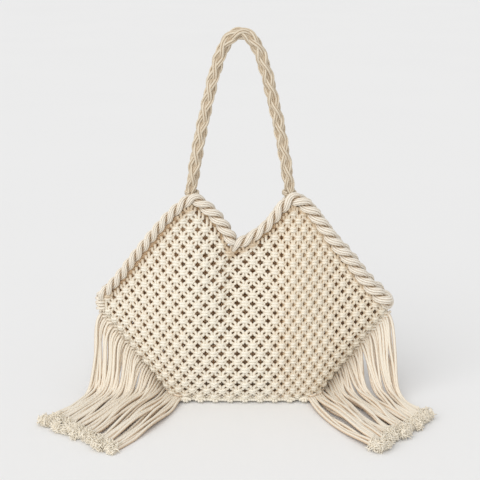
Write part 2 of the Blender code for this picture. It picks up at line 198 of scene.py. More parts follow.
def cotton(name, light, deep, brown=(0.64, 0.47, 0.32), twist=1.6, relief=0.5, cloud_size=18.0, right_darkening=0.0):
    material, shader, coordinates = new_material(name)
    tree = material.node_tree
    place = Socket(tree, coordinates.outputs["Object"])
    uv = place.node("ShaderNodeSeparateXYZ", None, Vector=Socket(tree, coordinates.outputs["UV"]))
    along = Socket(tree, uv.outputs[0])
    around = Socket(tree, uv.outputs[1])
    turn = (along * twist + around * 3.0) * math.tau
    groove = turn.math("SINE", turn) * 0.5 + 0.5
    groove = groove ** 0.6
    cloud = place.node("ShaderNodeTexNoise", None, Vector=place, Scale=cloud_size, Detail=3.0)
    fibre = place.node("ShaderNodeTexNoise", None, Vector=place, Scale=900.0, Detail=3.0, Roughness=0.65)
    fluff = Socket(tree, fibre.outputs[0])
    across = place.node("ShaderNodeSeparateXYZ", None, Vector=place)
    # Darker towards the right side of the bag: from the middle to 0.11 m to the right this term moves the colour
    # towards the deep one.
    darker_right = (Socket(tree, across.outputs[0]) * 9.0).clamp() * right_darkening
    # The mask mixes the cotton's random tone from the two noises with painted shade in the twist's grooves, which
    # take the deep colour.
    mask = (Socket(tree, cloud.outputs[0]) * 0.7 + groove * 0.35 + fluff * 0.3 - 0.25 - darker_right).clamp()
    colour = place.node(
        "ShaderNodeMix", {"data_type": "RGBA"}, Factor=mask, i6=(*deep, 1.0), i7=(*light, 1.0)
    )
    shade = place.node("ShaderNodeAttribute", {"attribute_name": "shade"})
    shaded = place.node(
        "ShaderNodeMix", {"data_type": "RGBA"}, Factor=(Socket(tree, shade.outputs["Fac"]) * 0.9).clamp(),
        i6=Socket(tree, colour.outputs[2]), i7=(*brown, 1.0),
    )
    inner = place.node(
        "ShaderNodeMix", {"data_type": "RGBA"}, Factor=(Socket(tree, shade.outputs["Fac"]) - 1.0).clamp(),
        i6=Socket(tree, shaded.outputs[2]), i7=(*LIT_THROUGH, 1.0),
    )
    link_to(Socket(tree, inner.outputs[2]), shader.inputs["Base Color"])
    rough = fluff * 0.15 + 0.82
    link_to(rough, shader.inputs["Roughness"])
    height = groove * 0.7 + fluff * 0.3
    bump = place.node("ShaderNodeBump", None, Strength=relief, Distance=0.0006, Height=height)
    link_to(Socket(tree, bump.outputs[0]), shader.inputs["Normal"])
    shader.inputs["Specular IOR Level"].default_value = 0.15
    shader.inputs["Sheen Weight"].default_value = 0.06
    shader.inputs["Sheen Roughness"].default_value = 0.6
    return material


net_cotton = cotton("net_cotton", (0.885, 0.85, 0.758), (0.81, 0.74, 0.615), brown=(0.52, 0.35, 0.18), right_darkening=0.45)
rope_cotton = cotton("rope_cotton", (0.89, 0.85, 0.77), (0.81, 0.74, 0.63), brown=(0.46, 0.32, 0.18), twist=2.2)
braid_cotton = cotton("braid_cotton", (0.775, 0.705, 0.585), (0.68, 0.58, 0.44), brown=(0.40, 0.28, 0.16), twist=2.2)
fringe_cotton = cotton("fringe_cotton", (0.87, 0.825, 0.735), (0.80, 0.72, 0.59), twist=1.4)
tuft_cotton = cotton("tuft_cotton", (0.95, 0.90, 0.79), (0.89, 0.80, 0.655), twist=1.0)
print("materials:", [m.name for m in (net_cotton, rope_cotton, braid_cotton, fringe_cotton, tuft_cotton)])

# %% [markdown]
# ## From routes to cords
# Everything on this bag is cord, so the most useful helper turns a list of routes into tubes. A Blender curve
# with a round bevel does that: one POLY spline a cord, its points' radius the cord's radius. The curve is then
# made a mesh, and its UV map, which runs from 0 to 1 along each cord, is stretched to the real length.

# %% Helper: a mesh of many cords
def cords(name, routes, material, radius, sides=6, shade=None):
    """One named mesh of round cords. A route is an array of points, or a pair of points and radii.
    The shade function gives the shade of vertices from their places and normals: 0 in the open, 1 between
    cords, and up to 2 inside the bag."""
    curve = bpy.data.curves.new(name, "CURVE")
    curve.dimensions = "3D"
    curve.fill_mode = "FULL"
    curve.bevel_depth = 1.0
    curve.bevel_resolution = sides // 2 - 2
    curve.use_fill_caps = True
    lengths = []
    for route in routes:
        points, radii = route if isinstance(route, tuple) else (route, radius)
        points = np.asarray(points, float)
        spline = curve.splines.new("POLY")
        spline.points.add(len(points) - 1)
        spline.points.foreach_set("co", np.hstack([points, np.ones((len(points), 1))]).ravel())
        spline.points.foreach_set("radius", np.broadcast_to(radii, len(points)).astype(float).copy())
        spline.use_smooth = True
        length = np.linalg.norm(np.diff(points, axis=0), axis=1).sum()
        lengths.append(np.full((len(points) - 1) * sides * 4, length))
    rig = bpy.data.objects.new(name + "_route", curve)
    bpy.context.scene.collection.objects.link(rig)
    shown = rig.evaluated_get(bpy.context.evaluated_depsgraph_get())
    mesh = bpy.data.meshes.new_from_object(shown)
    bpy.data.objects.remove(rig)
    mesh.name = name
    uv = np.empty(len(mesh.loops) * 2)
    mesh.uv_layers[0].data.foreach_get("uv", uv)
    uv = uv.reshape(-1, 2)
    stretch = np.concatenate(lengths) * 100
    uv[-len(stretch):, 0] *= stretch
    mesh.uv_layers[0].data.foreach_set("uv", uv.ravel())
    bm = bmesh.new()
    bm.from_mesh(mesh)
    bmesh.ops.remove_doubles(bm, verts=bm.verts, dist=1e-6)
    bmesh.ops.recalc_face_normals(bm, faces=bm.faces)
    bm.to_mesh(mesh)
    bm.free()
    mesh.shade_smooth()
    mesh.materials.clear()
    mesh.materials.append(material)
    if shade:
        found = np.empty((2, len(mesh.vertices), 3))
        mesh.vertices.foreach_get("co", found[0].reshape(-1))
        mesh.vertices.foreach_get("normal", found[1].reshape(-1))
        values = np.clip(shade(found[0], found[1]), 0.0, 2.0)
        mesh.attributes.new("shade", "FLOAT", "POINT").data.foreach_set("value", values.astype(np.float32))
    piece = bpy.data.objects.new(name, mesh)
    bpy.context.scene.collection.objects.link(piece)
    print(name, "cords:", len(routes), "triangles:", sum(len(p.vertices) - 2 for p in mesh.polygons))
    return piece


# %% [markdown]
# ## The form of the bag
# The CAD source gives the bag's form as a few tables: where the rim rope runs, how far each net bulges, and
# how the strap hangs. The same tables are repeated here, so that the net lies in the wall it stands for.

# %% Sizes and tables of the form
BASE_HALF_WIDTH = 0.100
BASE_HALF_DEPTH = 0.046
BASE_THICKNESS = 0.005
BASE_SQUARENESS = 4.0
BASE_FADE = 2.5
WALL = 0.005
BULGE = 0.053
CORNER = 0.189
PEAK = 0.277
SEAM_TOP_WIDTH = CORNER + 0.003
SEAM_TOP_HEIGHT = 0.433 * PEAK
CLEARANCE = 0.0003
FOOT = BASE_THICKNESS + CLEARANCE
ROPE_OUTER = 0.0097
STRAP_RADIUS = 0.0082
CORNER_TURN_RADIUS = 0.0115

RIM_LEFT = np.array([
    (-1.000, 0.531), (-0.884, 0.614), (-0.788, 0.697), (-0.688, 0.783), (-0.556, 0.892), (-0.450, 0.962),
    (-0.365, 1.000), (-0.286, 0.968), (-0.201, 0.910), (-0.125, 0.834), (-0.070, 0.766),
]) * (CORNER, PEAK)
RIM_RIGHT = np.array([
    (-0.092, 0.753), (-0.045, 0.775), (0.016, 0.798), (0.079, 0.823), (0.148, 0.861), (0.212, 0.910),
    (0.271, 0.966), (0.349, 1.002), (0.438, 0.966), (0.540, 0.877), (0.640, 0.783), (0.751, 0.693),
    (0.847, 0.603), (0.926, 0.542), (0.990, 0.502),
]) * (CORNER, PEAK)
PLUMP_FRONT = np.array([
    (-1.00, 0.10), (-0.80, 0.46), (-0.60, 0.78), (-0.35, 0.96), (0.00, 1.00), (0.25, 0.96), (0.45, 0.76),
    (0.62, 0.50), (0.80, 0.36), (1.00, 0.10),
]) * (SEAM_TOP_WIDTH, BULGE)
PLUMP_BACK = np.array([
    (-1.00, 0.10), (-0.70, 0.62), (-0.35, 0.94), (0.00, 1.00), (0.35, 0.94), (0.70, 0.62), (1.00, 0.10),
]) * (SEAM_TOP_WIDTH, BULGE)


# %% Functions of the form
def mouth_half_gap(x):
    """Distance of the rim rope from the middle plane."""
    wide = ROPE_OUTER + STRAP_RADIUS + CLEARANCE
    return np.interp(np.abs(x) / CORNER, (0.45, 1.0), (wide, CORNER_TURN_RADIUS))


def upper_edge_line():
    """The net's top edge: the rim line moved down by the rope's own radius."""
    line = np.vstack([RIM_LEFT[:-1], RIM_RIGHT])
    along = np.diff(line, axis=0)
    along /= np.linalg.norm(along, axis=1)[:, None]
    normals = np.column_stack([along[:, 1], -along[:, 0]])
    both = np.vstack([normals[:1], normals[:-1] + normals[1:], normals[-1:]])
    both /= np.linalg.norm(both, axis=1)[:, None]
    first = np.vstack([normals[:1], normals])
    spread = np.maximum((both * first).sum(axis=1), 0.75)
    return line + both * (ROPE_OUTER + 0.0007) / spread[:, None]


EDGE = upper_edge_line()


def upper_edge(x):
    return np.interp(x, EDGE[:, 0], EDGE[:, 1])


def lower_edge(x):
    return np.interp(np.abs(x), (BASE_HALF_WIDTH, SEAM_TOP_WIDTH), (FOOT, SEAM_TOP_HEIGHT))


def half_width(z):
    return np.interp(z, (FOOT, SEAM_TOP_HEIGHT), (BASE_HALF_WIDTH, SEAM_TOP_WIDTH))


def half_depth(x, z, plump):
    """Distance of the net's outer face from the middle plane."""
    low, high = lower_edge(x), upper_edge(x)
    t = np.clip((z - low) / np.maximum(high - low, 1e-4), 0.0, 1.0)
    height_share = np.clip((z - FOOT) / (high - FOOT), 0.0, 1.0)
    width_share = np.clip(np.abs(x) / half_width(z), 0.0, 1.0)
    at_base = BASE_HALF_DEPTH * (1.0 - width_share ** BASE_SQUARENESS) ** (1.0 / BASE_SQUARENESS)
    at_rim = mouth_half_gap(x) + WALL / 2
    bulge = np.interp(x, plump[:, 0], plump[:, 1])
    swell = 27 / 4 * t * (1.0 - t) ** 2
    return np.sqrt(at_base ** 2 * (1.0 - height_share) ** BASE_FADE + bulge ** 2 * swell + at_rim ** 2 * t)


print("half depth at the crown:", round(float(half_depth(0.0, 0.09, PLUMP_FRONT)), 4))

# %% [markdown]
# ## The lattice of knots
# The net is an alternating square knot pattern. Each knot gathers four cords, and its cords then part, two to
# the next knot down on the left and two to the right. Numbering half columns and rows, knots sit where column
# plus row is even, like the dark squares of a chessboard.
# The pattern is not even over the real bag: it is open and round in the middle and drawn together to the right
# of it, so the columns follow a table of spacings. The slanted sides follow a diagonal of knots exactly, with
# one more half column a row.

# %% Lattice to surface
ROW = 0.0112
BACK_DROP = [
    (-1.00, 0.0030), (-0.80, 0.0070), (-0.40, 0.0085), (-0.10, 0.0075), (0.30, 0.0085), (0.50, 0.0060), (0.80, 0.0),
    (1.00, 0.0),
]
COLUMN_SPACING = np.array([
    (-0.200, 0.0082), (-0.100, 0.0084), (-0.065, 0.0098), (-0.040, 0.0103), (0.025, 0.0103), (0.045, 0.0088),
    (0.062, 0.0072), (0.105, 0.0072), (0.125, 0.0090), (0.200, 0.0094),
])


def measure_rows():
    """Row number of each height, from the length along the front's middle."""
    z = np.linspace(FOOT, PEAK, 400)
    y = half_depth(np.zeros_like(z), z, PLUMP_FRONT)
    length = np.concatenate([[0.0], np.cumsum(np.hypot(np.diff(z), np.diff(y)))])
    return z, length / ROW


ROW_Z, ROW_NUMBER = measure_rows()
SEAM_ROWS = float(np.interp(SEAM_TOP_HEIGHT, ROW_Z, ROW_NUMBER))
FIRST_ROW = 0.55
CELL = (10.5, 11.2)


class Lattice:
    """Numbers a panel in half columns and rows. The spacing is a table of half column widths, side_columns
    says how many half columns each side has at the floor, drop is 1 for the lower back rim and 0 for the front,
    and tightness says how much fuller knots and cords are where the columns lie close."""

    def __init__(self, spacing, side_columns, drop, tightness):
        self.side_columns = side_columns
        self.drop = drop
        self.tightness = tightness
        self.x = np.linspace(-0.21, 0.21, 841)
        self.spacing = np.interp(self.x, *np.transpose(spacing))
        steps = np.diff(self.x) / ((self.spacing[1:] + self.spacing[:-1]) / 2)
        number = np.concatenate([[0.0], np.cumsum(steps)])
        self.number = number - np.interp(0.0, self.x, number)

    def xz(self, u, v):
        """Across and up of a place given in half columns and rows."""
        v = np.maximum(np.asarray(v, float) + FIRST_ROW, 0.0)
        u = np.asarray(u, float)
        z = np.interp(v, ROW_NUMBER, ROW_Z)
        x = np.empty_like(z)
        for side in (-1, 1):
            edge_number = self.side_columns[side] + np.minimum(v, SEAM_ROWS)
            free_number = side * np.interp(side * half_width(z), self.x, self.number)
            here = u * side >= 0
            x = np.where(here, np.interp(u * free_number / edge_number, self.number, self.x), x)
        return x, z

    def squeeze(self, column):
        """How far the net is drawn together at a column: 0 where it is open."""
        spacing = np.interp(np.interp(column, self.number, self.x), self.x, self.spacing)
        return self.tightness * max(1.0 - 1000 * spacing / CELL[0], 0.0)

    def rim(self, x):
        """Height of this panel's rim at one place."""
        return float(upper_edge(x) - self.drop * back_drop(x))


def back_drop(x):
    """How far the back rim hangs below the front one."""
    return np.interp(x / CORNER, *np.transpose(BACK_DROP))


def on_panel(lattice, side, plump):
    """A function that puts a lattice place, with its height off the wall, on one panel."""
    def face(x, z):
        deep = np.maximum(half_depth(x, z, plump) - WALL / 2, 0.002)
        return np.stack([x, side * deep, z], axis=-1)

    def place(u, v, h):
        x, z = lattice.xz(u, v)
        step = 0.0015
        point = face(x, z)
        dx = face(x + step, z) - face(x - step, z)
        dz = face(x, z + step) - face(x, z - step)
        normal = np.cross(dz, dx) * -side
        normal /= np.maximum(np.linalg.norm(normal, axis=-1, keepdims=True), 1e-9)
        return point + normal * np.asarray(h)[..., None]
    return place


print("rows beside the seams:", round(SEAM_ROWS, 1), "rows to the peak:", round(float(ROW_NUMBER[-1]), 1))

# %% [markdown]
# ## One square knot
# Follow the cords with a finger. Two filler cords run straight down. The left working cord crosses in front of
# them to the right, turns, and comes back: that makes the two bars one sees. The right working cord does the
# same behind, and shows as a bump on the left and two short ends on the right. Each cord that leaves a knot
# as a working cord enters the next one as a filler, so the routes below can be strung together without end.

# %% Routes through a knot, in millimetres: right, up, outward
def knot_paths(bump):
    """The four cords of one knot, whose sides reach to that half width."""
    corner = bump - 1.2
    working_left = [
        (-7.7, 3.5, 0.0), (-5.8, 2.8, 0.9), (-3.6, 2.55, 2.2), (-1.0, 2.25, 3.1), (1.8, 2.2, 3.0),
        (corner, 1.9, 1.9), (bump, 0.8, 0.2), (bump, -0.8, 0.2), (corner, -1.9, 1.9),
        (1.8, -2.2, 3.0), (-1.0, -2.25, 3.1), (-3.6, -2.55, 2.2), (-5.8, -2.8, 0.9), (-7.7, -3.5, 0.0),
    ]
    working_right = [
        (7.7, 3.5, 0.0), (6.4, 3.0, 1.0), (5.3, 2.6, 1.7), (3.4, 1.9, -1.0), (0.0, 1.7, -2.8), (-3.0, 1.7, -1.4),
        (-corner - 0.6, 1.5, 1.2), (-bump - 0.3, 0.0, 1.9), (-corner - 0.6, -1.5, 1.2), (-3.0, -1.7, -1.4),
        (0.0, -1.7, -2.8), (3.4, -1.9, -1.0), (5.3, -2.6, 1.7), (6.4, -3.0, 1.0), (7.7, -3.5, 0.0),
    ]
    filler_right = [
        (2.8, 7.7, 0.0), (1.85, 6.4, 0.3), (1.75, 2.4, 0.0), (1.75, -2.4, 0.0), (1.85, -6.4, 0.3), (2.8, -7.7, 0.0),
    ]
    filler_left = [(-a, b, c) for a, b, c in filler_right]
    return {
        "working left": working_left, "working right": working_right,
        "filler right": filler_right, "filler left": filler_left,
    }


OPEN_BUMP = 5.0
CLOSE_BUMP = 5.0
CLOSE_SWELL = 0.40
LEAST_MOVE = 0.04
ROWS = 26
COLUMNS = 30


def rise_over_rim(column):
    """How far past the net's top edge a knot may still sit: highest at the notch, where the ropes part."""
    if -4 < column < 0:
        return 0.010
    return 0.006 if column < -5 or 0 <= column < 4 else 0.003


def panel_knots(lattice):
    """Places of the panel's knots, as half column and row."""
    knots = set()
    for j in range(ROWS):
        for i in range(-COLUMNS, COLUMNS + 1):
            seam = lattice.side_columns[-1 if i < 0 else 1] + j
            x, z = lattice.xz(float(i), float(j))
            under_rim = z < lattice.rim(x) + rise_over_rim(i)
            if (i + j) % 2 == 0 and abs(i) <= seam and abs(x) < SEAM_TOP_WIDTH and under_rim:
                knots.add((i, j))
    return knots


def strings(knots):
    """Each cord of the net as its visits from top to bottom: (route through the knot, column, row)."""
    columns = sorted({i for i, j in knots})
    top = max(j for i, j in knots)
    low = min(j for i, j in knots)
    found = []
    for i in range(columns[0] - 1, columns[-1] + 2):
        for working, filler, aside in (("working left", "filler right", -1), ("working right", "filler left", 1)):
            visits = []
            for j in range(top, low - 1, -1):
                column, route = (i, working) if (i + j) % 2 == 0 else (i + aside, filler)
                if (column, j) in knots:
                    visits.append((route, column, j))
                elif visits:
                    found.append(visits)
                    visits = []
            if visits:
                found.append(visits)
    return found


def route_of(visits, place, squeeze, ends=None):
    """The points and radii of one string: through its knots, with what the ends function adds at both ends."""
    lattice, radii = [], []
    for route, column, row in visits:
        closer = squeeze(column)
        for a, b, h in knot_paths(OPEN_BUMP + CLOSE_BUMP * closer)[route]:
            point = (column + a / CELL[0], row + b / CELL[1], h * 0.001)
            if not lattice or abs(point[0] - lattice[-1][0]) + abs(point[1] - lattice[-1][1]) > LEAST_MOVE:
                lattice.append(point)
                radii.append(NET_CORD * (1.0 + CLOSE_SWELL * closer))
    points = place(*np.array(lattice).T)
    head, tail = ends(points) if ends else ([], [])
    radii = np.pad(radii, (len(head), len(tail)), "edge")
    return np.vstack([row for row in (head, points, tail) if len(row)]), radii


# %% [markdown]
# ## The front and back nets
# The strings of knots are run over the whole lattice. Under the rim each string goes straight up into the rope,
# which leaves the small dark slots one sees along it, and at the bottom it turns in over the base. A thick
# holding cord runs along the top of each net, just inside: the net's cords are hung over it. The back is knotted
# more closely than the front.
# The shade of a place on the net grows with its depth in the wall. The table of creases says how strong that is
# from left to right: stronger where the knots close up, weaker where the net is open and light comes through.

# %% Nets
NET_CORD = 0.00204
HOLDING_CORD = 0.0040
HOLDING_RISE = 0.0045
HOLDING_INSET = 0.006


def panel_ends(lattice, side):
    """A function that leads a string up into the rope, and down over the base or in to the seam."""
    def ends(points):
        x, y, z = points[0]
        rim = lattice.rim(x)
        lean = side * mouth_half_gap(x)
        head = [(x, (y + lean) / 2, max(z, rim) + 0.004)]
        if rim - z > 0.006:
            head = [(x, lean, rim + 0.009), (x, (y + lean * 2) / 3, rim + 0.002)]
        x, y, z = points[-1]
        tail = []
        if z < 0.012:
            tail = [(x * 0.99, y - side * 0.006, 0.0060), (x * 0.97, y - side * 0.013, 0.0045)]
        elif abs(x) > half_width(z) - 0.03:
            edge = math.copysign(float(half_width(z - 0.004)) + 0.003, x)
            tail = [((x + edge) / 2, y * 0.55, z - 0.003), (edge, 0.0, z - 0.006)]
        return head, tail
    return ends


# The holding cord also fills the slots under the rope. net_shade colours it brown to light tan there: painted shade,
# and painted light that has come through the cotton.
def holding_cord(lattice, side):
    x = np.linspace(EDGE[0, 0] + 0.004, EDGE[-1, 0] - 0.004, 150)
    height = np.array([lattice.rim(at) for at in x]) + HOLDING_RISE
    return np.column_stack([x, side * (mouth_half_gap(x) - HOLDING_INSET), height]), HOLDING_CORD


NET_CREASES = [
    (-1.00, 1.05), (-0.50, 1.05), (-0.38, 0.45), (0.16, 0.38), (0.27, 1.60), (0.50, 1.60), (0.70, 0.85), (1.00, 0.85),
]
CREASE_TOP, CREASE_REACH = 0.0024, 0.0038
INSIDE_TOP, INSIDE_REACH = -0.0010, 0.0020
UNDER_ROPE_REACH, UNDER_ROPE_SHADE = 0.0030, 0.65


def net_shade(lattice, side, plump):
    """Browner the deeper a place lies in the wall and in the crease under the rope, 2 on the inner side."""
    def shade(places, normals):
        middle = half_depth(places[:, 0], places[:, 2], plump) - WALL / 2
        depth = places[:, 1] * side - middle
        crease = np.interp(places[:, 0] / CORNER, *np.transpose(NET_CREASES))
        inward = np.clip((CREASE_TOP - depth) / CREASE_REACH, 0.0, 1.0) * crease
        inside = np.clip((INSIDE_TOP - depth) / INSIDE_REACH, 0.0, 1.0)
        below_rope = upper_edge(places[:, 0]) - lattice.drop * back_drop(places[:, 0]) - places[:, 2]
        under = np.clip((UNDER_ROPE_REACH - below_rope) / UNDER_ROPE_REACH, 0.0, 1.0)
        return np.maximum(np.minimum(inward, 1.0) * (1.0 - inside) + 2.0 * inside, UNDER_ROPE_SHADE * under)
    return shade


front_lattice = Lattice(COLUMN_SPACING, {-1: 10, 1: 12}, 0.0, 1.0)
back_lattice = Lattice([(-0.2, 0.0083), (0.2, 0.0083)], {-1: 12, 1: 12}, 1.0, 3.0)
for name, lattice, side, plump in (
    ("front_net", front_lattice, -1, PLUMP_FRONT), ("back_net", back_lattice, 1, PLUMP_BACK),
):
    place = on_panel(lattice, side, plump)
    ends = panel_ends(lattice, side)
    routes = [route_of(visits, place, lattice.squeeze, ends) for visits in strings(panel_knots(lattice))]
    routes.append(holding_cord(lattice, side))
    net = cords(name, routes, net_cotton, NET_CORD, shade=net_shade(lattice, side, plump))
    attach(net, "root")
    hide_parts("front_panel" if side < 0 else "back_panel")

# %% [markdown]
# ## The base
# The bottom of the bag is a small rounded oblong of the same net, which lies flat on the floor between the two
# panels. Three cords run round its edge, one over the other. The lowest stands back a little, which leaves the
# thin dark line that one sees between the bag and the floor.

# %% Base net
BASE_CELL = (0.0101, 0.0108)
BASE_NET_HEIGHT = 0.0042
BASE_RELIEF = 0.8
BASE_COLUMNS, BASE_ROWS = 10.4, 4.6
BASE_RINGS = ((0.0060, 0.0022), (0.0006, 0.0046), (0.0034, 0.0080))
BASE_EDGE = 0.006


def on_base(u, v, h):
    x = np.asarray(u) * BASE_CELL[0]
    y = np.asarray(v) * BASE_CELL[1]
    return np.stack([x, y, BASE_NET_HEIGHT + np.asarray(h) * BASE_RELIEF], axis=-1)


def base_shade(places, normals):
    """Browner on what faces up inside the bag, away from the edge."""
    return normals[:, 2] * 0.6 * (np.abs(places[:, 1]) < BASE_HALF_DEPTH - BASE_EDGE)


base_knots = {
    (i, j) for i in range(-10, 11) for j in range(-4, 5)
    if (i + j) % 2 == 0 and (abs(i) / BASE_COLUMNS) ** 4 + (abs(j) / BASE_ROWS) ** 4 < 1.0
}
routes = [route_of(visits, on_base, lambda column: 0.0) for visits in strings(base_knots)]
turn = np.linspace(0.0, math.tau, 181)
for inset, height in BASE_RINGS:
    x = np.sign(np.cos(turn)) * np.abs(np.cos(turn)) ** 0.5 * (BASE_HALF_WIDTH - inset)
    y = np.sign(np.sin(turn)) * np.abs(np.sin(turn)) ** 0.5 * (BASE_HALF_DEPTH - inset)
    routes.append(np.column_stack([x, y, np.full_like(x, height)]))
base_net = cords("base_net", routes, net_cotton, NET_CORD, shade=base_shade)
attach(base_net, "root")
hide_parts("base_panel")

# %% [markdown]
# ## Smooth routes and moving frames
# A rope, a braid and a fringe all follow a smooth line through a few known points. A Catmull-Rom curve passes
# through all of them. Cords that wind round that line need a frame that travels along it without twisting.

# %% Helpers: smooth line, even steps, travelling frame
def smooth_through(points, samples=12):
    points = np.asarray(points, float)
    ends = np.vstack([points[0] * 2 - points[1], points, points[-1] * 2 - points[-2]])
    chain = []
    for before, start, stop, after in zip(ends, ends[1:], ends[2:], ends[3:]):
        for t in np.arange(samples) / samples:
            chain.append(0.5 * (
                2 * start + (stop - before) * t + (2 * before - 5 * start + 4 * stop - after) * t * t
                + (3 * start - before - 3 * stop + after) * t ** 3
            ))
    chain.append(points[-1])
    return np.array(chain)


def evenly(chain, step):
    """The chain cut into equal steps of about that length, and the distance of each point."""
    lengths = np.concatenate([[0.0], np.cumsum(np.linalg.norm(np.diff(chain, axis=0), axis=1))])
    distance = np.linspace(0.0, lengths[-1], max(int(lengths[-1] / step), 2) + 1)
    return np.column_stack([np.interp(distance, lengths, chain[:, k]) for k in range(3)]), distance


def frames(points):
    """Two directions across the line at each point, carried along without twist."""
    tangents = np.gradient(points, axis=0)
    tangents /= np.linalg.norm(tangents, axis=1)[:, None]
    start = np.cross(tangents[0], (0.0, 1.0, 0.0))
    if np.linalg.norm(start) < 0.1:
        start = np.cross(tangents[0], (1.0, 0.0, 0.0))
    across = [start / np.linalg.norm(start)]
    for tangent in tangents[1:]:
        carried = across[-1] - tangent * np.dot(across[-1], tangent)
        across.append(carried / np.linalg.norm(carried))
    across = np.array(across)
    return across, np.cross(tangents, across)


def wind(points, across, up, reach, angle):
    """A line round another one, at that reach and angle."""
    reach = np.broadcast_to(reach, len(points))[:, None]
    angle = np.broadcast_to(angle, len(points))[:, None]
    return points + reach * (np.cos(angle) * across + np.sin(angle) * up)


# %% [markdown]
# ## Bundles of cords
# A ply of the rope, a strand of the strap and the strap's middle are all bundles: a plain round core that fills
# the middle, with a ring of cords about it. Under a soft light the grooves of a rope would look as pale as its
# ridges. So places near the middle of the rope, and near the middle of each bundle, are shaded towards brown.

# %% Helpers: a bundle and its shade
def bundle(centre, size, core, fan, count, cord):
    """A round core and a ring of cords about it, at the reach called fan."""
    across, up = frames(centre)
    routes = [(centre, core * size)]
    for number in range(count):
        spin = math.tau * number / count
        routes.append((wind(centre, across, up, fan * size, spin), cord * size))
    return routes


def shade_near(points, size, inner, outer):
    """Shade from 1 at the inner distance from a line to 0 at the outer one."""
    tree = KDTree(len(points))
    for index, point in enumerate(points):
        tree.insert(point, index)
    tree.balance()
    size = np.broadcast_to(size, len(points))

    def shade(places, normals):
        found = [tree.find(place) for place in places]
        away = np.array([away / size[index] for place, index, away in found])
        return np.clip((outer - away) / (outer - inner), 0.0, 1.0)
    return shade


def bundle_shade(points, centres, size, between, within, strength):
    """Shade between the bundles, and of that strength between the cords of each one."""
    between_bundles = shade_near(points, size, *between)
    between_cords = shade_near(np.vstack(centres), np.tile(size, len(centres)), *within)
    return lambda places, normals: np.maximum(
        between_bundles(places, normals), strength * between_cords(places, normals)
    )


# %% [markdown]
# ## The rim rope
# Two fat plies are laid round each other, and each ply is itself a bundle of fine cords. Because a ply is
# carried along without being twisted itself, its fine cords run nearly straight along the rope, as they do in
# real rope. The left rope is laid tighter and is slimmer along the outer slope. Two ropes make the rim: the
# right one starts at the notch over the end of the left one and grows thicker towards its corner.

# %% Rim ropes
FINE_CORD = 0.00150
PLY_REACH = 0.0045
PLY_FAN = 0.0037
CORDS_IN_PLY = 8
PLY_CORE = 0.0035
ROPE_STEP = 0.0022
TAPER_LENGTH = 0.012
TAPER_END = 0.55
PLY_SHADE = (0.0040, 0.0076)
FINE_CORD_SHADE = (0.0036, 0.0052)
FINE_CORD_STRENGTH = 0.5
ROOM_AT_NOTCH = 0.0010
ROPE_REACH = PLY_REACH + PLY_FAN + FINE_CORD
ROPE_LAYS = {"left": 0.0335, "right": 0.036}
ROPE_SIZES = {
    "left": ((-1.0, -0.42, -0.28), (0.78, 0.80, 0.94)),
    "right": ((0.20, 0.38, 0.86, 1.0), (0.82, 1.0, 1.0, 1.12)),
}


def rope_size(name, x):
    return np.interp(x / CORNER, *ROPE_SIZES[name])


def rim_chain(name, rows):
    """Notch, front slope, corner, back slope, notch. Where the rope is slim it keeps its outer side."""
    along = np.gradient(rows, axis=0)
    along /= np.linalg.norm(along, axis=1)[:, None]
    outward = np.column_stack([-along[:, 1], along[:, 0]]) * np.sign(along[:, :1])
    back_rows = rows - [0.0, 1.0] * back_drop(rows[:, 0])[:, None]
    share = np.clip((rows[:, 0] / CORNER + 1.0) / 0.15, 0.0, 1.0)
    rows = rows + outward * ((1.0 - rope_size(name, rows[:, 0])) * ROPE_REACH * share)[:, None]
    gap = mouth_half_gap(rows[:, 0])
    front = np.column_stack([rows[:, 0], -gap, rows[:, 1]])
    back = np.column_stack([back_rows[:, 0], gap, back_rows[:, 1]])
    slope = np.array([rows[0, 0] - rows[1, 0], 0.0, rows[0, 1] - rows[1, 1]])
    slope /= np.linalg.norm(slope)
    centre = np.array([rows[0, 0], 0.0, rows[0, 1]])
    turn = [
        centre + (slope * math.sin(angle) + np.array([0.0, -math.cos(angle), 0.0])) * CORNER_TURN_RADIUS
        for angle in math.pi * np.arange(1, 6) / 6
    ]
    return smooth_through(np.vstack([front[::-1], turn, back]))


def laid_rope(name, chain):
    """The routes of a rope's fine cords, and its shade."""
    points, distance = evenly(chain, ROPE_STEP)
    across, up = frames(points)
    taper = np.clip(np.minimum(distance, distance[-1] - distance) / TAPER_LENGTH, TAPER_END, 1.0) ** 0.5
    size = rope_size(name, points[:, 0]) * taper
    routes, centres = [], []
    for ply in range(2):
        angle = -math.tau * distance / ROPE_LAYS[name] + math.pi * ply
        centre = wind(points, across, up, PLY_REACH * size, angle)
        centres.append(centre)
        routes += bundle(centre, size, PLY_CORE, PLY_FAN, CORDS_IN_PLY, FINE_CORD)
    return routes, bundle_shade(points, centres, size, PLY_SHADE, FINE_CORD_SHADE, FINE_CORD_STRENGTH)


right_chain = rim_chain("right", RIM_RIGHT[::-1])
left_chain = rim_chain("left", RIM_LEFT)
nearest = np.linalg.norm(left_chain[:, None] - right_chain[None], axis=2).min(axis=1)
left_chain = left_chain[nearest >= ROOM_AT_NOTCH]
for name, chain in (("left", left_chain), ("right", right_chain)):
    routes, shade = laid_rope(name, chain)
    rope = cords("rim_rope_cords_" + name, routes, rope_cotton, FINE_CORD, shade=shade)
    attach(rope, "root")
    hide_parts("rim_rope_" + name)

# %% [markdown]
# ## The strap
# A round braid of six strands: three wind to the right and three to the left, and each passes over one and under
# the next. Written as a spiral whose distance from the middle swings in and out, a strand goes over where it
# swings out. Each strand is a bundle of fine cords, and the long lay makes it lie nearly along the strap. Straight
# cords run through the middle: they fill the windows between the strands and keep the strap round.

